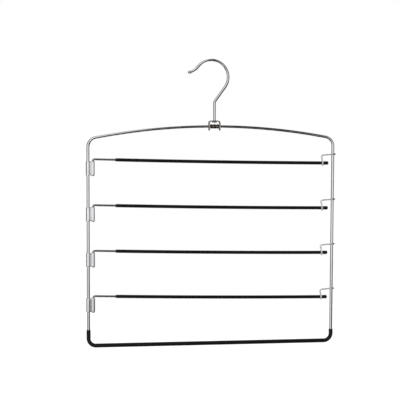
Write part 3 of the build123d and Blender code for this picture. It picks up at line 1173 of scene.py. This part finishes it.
class HANGER_OT_catches(bpy.types.Operator):
    """Bend the four catches and weld them to the right upright"""

    bl_idname = "hanger.catches"
    bl_label = "Catches and welds"

    def execute(self, context):
        settings = context.scene.trouser_hanger
        sizes = settings.catch
        radius = sizes.wire_diameter / 2
        _, right, _ = upright_places()
        welds = []
        for tier in TIERS:
            low, high = cad_boxes[f"catch_{tier}"]
            catch_y, weld_z = low.y + radius, high.z - radius
            curl_z = low.z + radius
            foot_x = right - sizes.reach + sizes.lean
            corners = [
                Vector((right + sizes.overhang, catch_y, weld_z)),
                Vector((right - sizes.reach, catch_y, weld_z - sizes.fall)),
                Vector((foot_x, catch_y, curl_z)),
                Vector((foot_x, high.y, curl_z)),
            ]
            route = divided(rounded_route(corners, [sizes.corner, sizes.curl]), spacing=3 * MM)
            outline = rod_outline(distances(route), radius, sizes.cut_round)
            turned(
                f"catch_{tier}_wire", route, outline, "frame", "catch_chrome", f"catch_{tier}", sides=20,
            )
            slope = sizes.fall / (sizes.overhang + sizes.reach)
            weld_y = (catch_y + radius - settings.frame.wire_diameter / 2) / 2
            welds.append(Vector((right, weld_y, weld_z - sizes.overhang * slope)))
        points = bpy.data.meshes.new("weld_points")
        points.from_pydata(welds, [], [])
        beads = grown("catch_welds", points, trees["bead"], {
            "Half width": sizes.weld_width, "Half thickness": sizes.weld_thickness,
            "Unevenness": 0.25 * MM, "Seed": 5, "Material": finishes["weld_chrome"],
        })
        face_outwards(beads, sharp_degrees=60.0)
        dress(beads, "frame", "catch_chrome")
        return {"FINISHED"}


class HANGER_OT_arm_wires(bpy.types.Operator):
    """Bend the four arms' wires, each with its leg, elbow and upset foot"""

    bl_idname = "hanger.arm_wires"
    bl_label = "Arm wires"

    def execute(self, context):
        sizes = context.scene.trouser_hanger.arm
        radius, foot, height = sizes.wire_diameter / 2, sizes.foot_diameter / 2, sizes.foot_height
        soft, spacing = height * 0.4, 12 * MM
        elbow_end = 4 * sizes.elbow_radius
        for tier in TIERS:
            foot_end = arm_place(tier) - Vector((0, 0, sizes.leg_length))
            end = arm_reach(tier) - sizes.cap_length + sizes.cap_socket
            bar = bar_route(sizes, tier, elbow_end, end, spacing)
            leg = rounded_route([foot_end, arm_point(sizes, tier, 0), bar[0]], [sizes.elbow_radius])
            route = divided(without_repeats(leg + bar), spacing)
            along = distances(route)
            outline = [(0.0, 0.0)]
            outline += rounding(soft, foot - soft, soft, RISE)
            outline += rounding(height - soft / 2, foot - soft / 2, soft / 2, FALL, steps=3)
            outline += [(height, radius)]
            outline += [(d, radius) for d in between(along, height, along[-1])]
            outline += [(along[-1], radius), (along[-1], 0.0)]
            turned(
                f"arm_{tier}_bent_wire", route, outline, f"arm_{tier}", "arm_chrome", f"arm_wire_{tier}",
            )
        return {"FINISHED"}


class HANGER_OT_arm_sleeves(bpy.types.Operator):
    """Draw a soft sleeve over each arm's bar"""

    bl_idname = "hanger.arm_sleeves"
    bl_label = "Arm sleeves"

    def execute(self, context):
        settings = context.scene.trouser_hanger
        sizes, soft = settings.arm, settings.sleeve
        bore = sizes.wire_diameter / 2
        for tier in TIERS:
            end = arm_reach(tier) - sizes.cap_length
            route = bar_route(sizes, tier, sizes.sleeve_start, end, spacing=1.6 * MM)
            outline = tube_outline(
                distances(route), sizes.sleeve_diameter / 2, bore, soft.end_round,
                soft.taper_length, soft.taper_depth,
            )
            turned(
                f"arm_{tier}_vinyl_sleeve", route, outline, f"arm_{tier}", "black_vinyl",
                f"arm_sleeve_{tier}", sides=28, closed=True, bore_radius=bore,
                waviness=soft.waviness, wave_length=soft.wave_length, seed=20 + tier,
            )
        return {"FINISHED"}


class HANGER_OT_arm_caps(bpy.types.Operator):
    """Mould the grooved caps on the arms' ends"""

    bl_idname = "hanger.arm_caps"
    bl_label = "Arm caps"

    def execute(self, context):
        sizes = context.scene.trouser_hanger.arm
        radius, bore = sizes.cap_diameter / 2, sizes.wire_diameter / 2
        soft, nose_start = 0.35 * MM, sizes.cap_length - sizes.cap_nose
        groove_low = sizes.groove_setback - sizes.groove_width / 2
        groove_high = sizes.groove_setback + sizes.groove_width / 2
        floor, lip = radius - sizes.groove_depth, 0.08 * MM
        outline = [(sizes.cap_socket, 0.0)] + [(d, bore) for d in evenly(sizes.cap_socket, 0.0, 4)]
        outline += rounding(soft, radius - soft, soft, RISE)
        outline += [(d, radius) for d in evenly(soft, groove_low, 4)[1:-1]]
        outline += [(groove_low - lip, radius), (groove_low + lip, floor), (sizes.groove_setback, floor)]
        outline += [(groove_high - lip, floor), (groove_high + lip, radius)]
        outline += [(d, radius) for d in evenly(groove_high, nose_start, 4)[1:-1]]
        outline += quarter((nose_start, 0.0), (sizes.cap_nose, radius), FALL, steps=14)
        flash_half_width, socket_skin = 0.22 * MM, 0.3 * MM

        def parting_line(distance, front, top):
            reach = math.hypot(front, top)
            in_groove = abs(distance - sizes.groove_setback) < sizes.groove_width
            if reach < bore + socket_skin or in_groove:
                return 0.0
            return sizes.flash_height * min(1.0, abs(top) / flash_half_width)

        for tier in TIERS:
            start = arm_reach(tier) - sizes.cap_length
            route = bar_route(sizes, tier, start, arm_reach(tier), spacing=1 * MM)
            turned(
                f"arm_{tier}_moulded_cap", route, outline, f"arm_{tier}", "black_cap", f"arm_cap_{tier}",
                parting_line, sides=48,
            )
        return {"FINISHED"}


def band(signal, low, high, soft):
    """1 inside a range, 0 outside, with soft edges."""
    return signal.step(low - soft, low + soft) * (1.0 - signal.step(high - soft, high + soft))


def studio_world():
    """White to the camera. To polished metal, a white cove with soft boxes and dark gaps in front."""
    world = bpy.data.worlds.new("Studio")
    bpy.context.scene.world = world
    world.use_nodes = True
    world.node_tree.nodes.clear()
    board = Board(world.node_tree)
    ray = board.add("ShaderNodeLightPath")
    direction = board.add("ShaderNodeTexCoord")["Generated"]
    part = board.split(direction)
    azimuth = part["X"].math("ARCTAN2", part["X"], 0.0 - part["Y"])
    height = part["Z"].math("ARCSINE", part["Z"])
    aside = azimuth.math("ABSOLUTE", azimuth)

    # Each light by its stretch of azimuth, from the front to the right, and of height, with soft edges,
    # all in radians, times its brightness where that is below 1
    left_box = band(azimuth, -1.05, 0.01, 0.05) * band(height, -0.32, 1.13, 0.08)
    right_box = band(azimuth, 0.44, 0.92, 0.05) * band(height, -0.14, 0.80, 0.05)
    low_corner = band(azimuth, 0.32, 0.44, 0.05) * band(height, -0.14, 0.02, 0.03)
    low_middle = band(azimuth, 0.01, 0.36, 0.05) * band(height, -0.150, -0.048, 0.012)
    left_wall = band(azimuth, -2.62, -1.05, 0.05) * 0.10
    right_wall = band(azimuth, 0.92, 2.62, 0.05) * height.step(-0.24, -0.18) * 0.09
    backdrop = aside.step(2.55, 2.69) * 0.95
    overhead = height.step(1.30, 1.48) * 0.90
    right_light = (right_box.maximum(low_corner) * 0.80).maximum(low_middle)
    boxes_seen = left_box + right_light + left_wall + right_wall
    gloss = (boxes_seen + backdrop).maximum(overhead) + 0.01
    seen = ray["Is Camera Ray"]
    diffuse_level = 0.75  # what lights the rest, beside the key light
    mirrored = ray["Is Glossy Ray"].maximum(ray["Is Transmission Ray"])
    lit = mirrored * gloss + (1.0 - mirrored) * diffuse_level
    strength = seen + (1.0 - seen) * lit
    sky = board.add("ShaderNodeBackground", {"Color": WHITE, "Strength": strength})
    board.add("ShaderNodeOutputWorld", {"Surface": sky})


def floor_material(rgb):
    """Pale matt floor, lifted to white for the camera, with the shadow kept."""
    material, board = new_material("studio_floor")
    place = object_place(board)
    mottle = board.noise(place, 3.0, detail=3.0)
    base = board.mix(mottle * 0.4, opaque(rgb), scaled(rgb, 0.97))
    ray = board.add("ShaderNodeLightPath")
    lift = ray["Is Camera Ray"].maximum(ray["Is Glossy Ray"]) * 0.45
    return finish_material(material, board, {
        "Base Color": base, "Roughness": 0.8, "Emission Color": WHITE, "Emission Strength": lift,
    })


class HANGER_OT_stage(bpy.types.Operator):
    """Set up the camera, the studio light and the pale floor"""

    bl_idname = "hanger.stage"
    bl_label = "Stage"

    def execute(self, context):
        settings = context.scene.trouser_hanger
        stage = settings.stage
        studio_world()
        ground = bpy.data.meshes.new("studio_floor")
        half, level = stage.floor_width / 2, -stage.floor_drop
        front, back = -stage.floor_front, stage.floor_back
        corners = [(-half, front, level), (half, front, level), (half, back, level), (-half, back, level)]
        ground.from_pydata(corners, [], [(0, 1, 2, 3)])
        ground.materials.append(floor_material(settings.finish.floor))
        floor = placed("studio_floor", ground)

        lamp = bpy.data.lights.new("key_light", "AREA")
        lamp.shape, lamp.size, lamp.size_y = "RECTANGLE", stage.key_width, stage.key_height
        lamp.energy = stage.key_power
        key = placed("key_light", lamp)
        key.location = (stage.key_right, stage.key_behind, stage.key_up)
        target = Vector((stage.look_right, 0, stage.look_up))
        key.rotation_euler = (target - key.location).to_track_quat("-Z", "Y").to_euler()
        key.visible_camera = False
        key.visible_glossy = False

        back = Vector((
            math.sin(stage.azimuth) * math.cos(stage.elevation),
            -math.cos(stage.azimuth) * math.cos(stage.elevation),
            math.sin(stage.elevation),
        ))
        right = Vector((math.cos(stage.azimuth), math.sin(stage.azimuth), 0))
        right.rotate(Matrix.Rotation(stage.roll, 3, back))
        axes = Matrix((right, back.cross(right), back)).transposed()
        lens = bpy.data.cameras.new("camera")
        lens.lens, lens.sensor_width = stage.lens, stage.sensor_width
        lens.clip_start, lens.clip_end = stage.nearest, stage.furthest
        camera = placed("camera", lens)
        camera.matrix_world = Matrix.Translation(target + back * stage.distance) @ axes.to_4x4()
        context.scene.camera = camera
        context.scene.view_settings.view_transform = "Standard"
        return {"FINISHED"}


steps = (
    HANGER_OT_finishes,
    HANGER_OT_hook,
    HANGER_OT_bracket,
    HANGER_OT_frame_wire,
    HANGER_OT_ferrule,
    HANGER_OT_bottom_sleeve,
    HANGER_OT_hinge_clips,
    HANGER_OT_catches,
    HANGER_OT_arm_wires,
    HANGER_OT_arm_sleeves,
    HANGER_OT_arm_caps,
    HANGER_OT_stage,
)


class HANGER_PT_sidebar(bpy.types.Panel):
    """The hanger's sizes, finishes and steps"""

    bl_idname = "HANGER_PT_sidebar"
    bl_label = "Trouser hanger"
    bl_space_type = "VIEW_3D"
    bl_region_type = "UI"
    bl_category = "Hanger"

    def draw(self, context):
        settings = context.scene.trouser_hanger
        for step in steps:
            self.layout.operator(step.bl_idname)
        for group in settings.bl_rna.properties.keys():
            values = getattr(settings, group)
            if isinstance(values, bpy.types.PropertyGroup):
                box = self.layout.box()
                box.label(text=settings.bl_rna.properties[group].name)
                for name in values.bl_rna.properties.keys():
                    if name not in ("rna_type", "name"):
                        box.prop(values, name)


classes = (
    HookSizes, FrameSizes, ArmSizes, SleeveSizes, ClipSizes, CatchSizes, FinishColours, StageSettings,
    HangerSettings, *steps, HANGER_PT_sidebar,
)


def register():
    for item in classes:
        bpy.utils.register_class(item)
    bpy.types.Scene.trouser_hanger = bpy.props.PointerProperty(type=HangerSettings)


def unregister():
    del bpy.types.Scene.trouser_hanger
    for item in reversed(classes):
        bpy.utils.unregister_class(item)


def main():
    """Build the hanger and its stage."""
    register()
    for step in steps:
        group, name = step.bl_idname.split(".")
        getattr(getattr(bpy.ops, group), name)()


if __name__ == "__main__":
    main()
